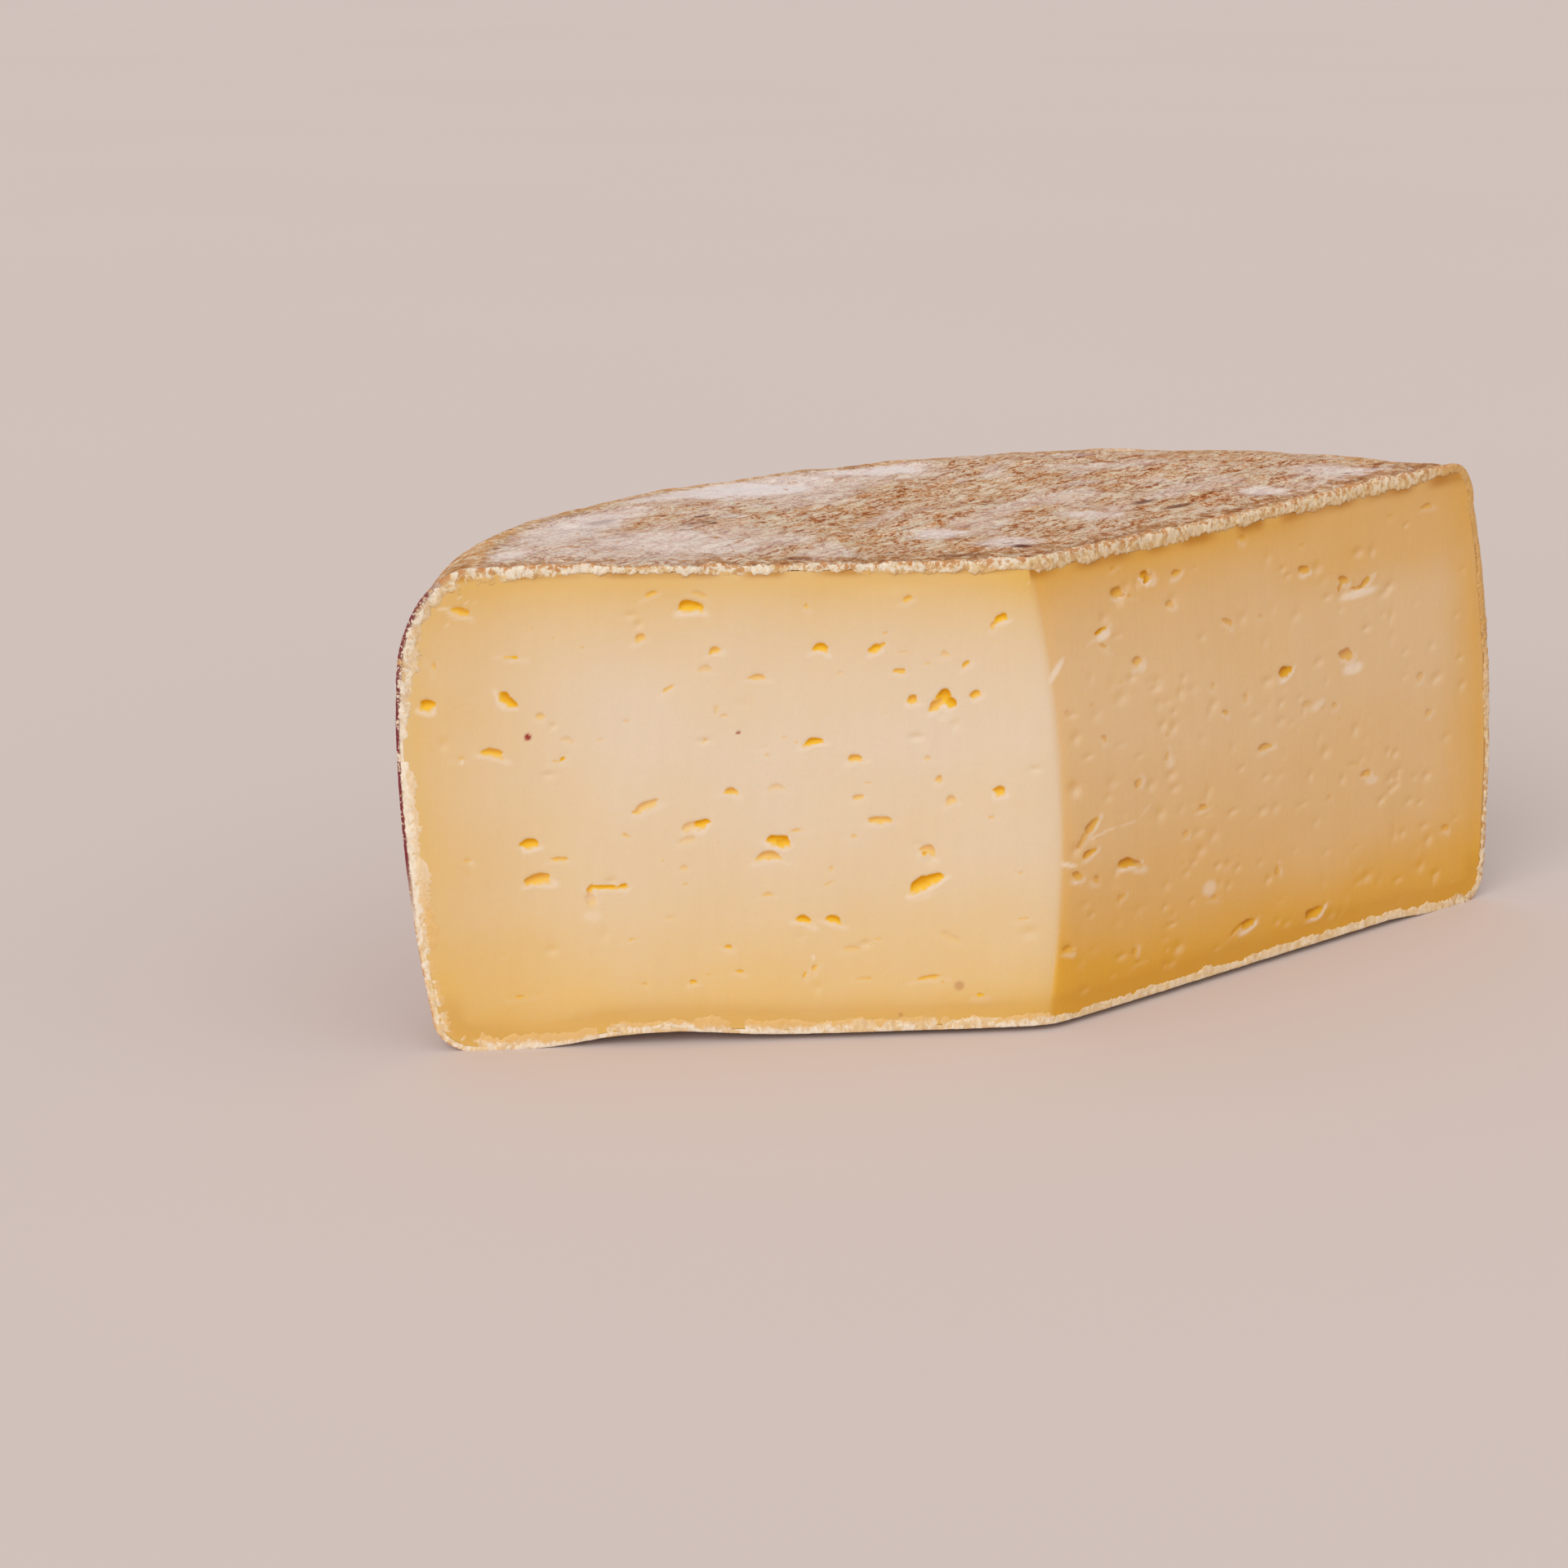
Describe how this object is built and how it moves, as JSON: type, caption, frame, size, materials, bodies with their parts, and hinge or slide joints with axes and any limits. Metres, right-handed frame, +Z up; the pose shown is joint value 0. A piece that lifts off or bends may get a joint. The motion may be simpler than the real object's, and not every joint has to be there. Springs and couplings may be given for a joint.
{
  "type": "cut wedge of tomme cheese",
  "caption": "Wedge of tomme de savoie, a semi-hard cheese with a grey natural rind and small irregular eyes in its pale yellow paste",
  "frame": {"origin": "centre of the wedge's box in plan, on the table under it", "axes": "+Z up, the low height of the wheel; +X along the left cut face, towards the cut edge and beyond it along the wedge's greatest length; +Y from the left cut face into the cheese"},
  "size_m": [0.1588, 0.0782, 0.0673],
  "materials": {
    "cheese": "moist matte cut paste inside a dry, downy, mottled grey-brown rind"
  },
  "bodies": {
    "root": {"tomme_wedge": "cheese"}
  },
  "joints": []
}
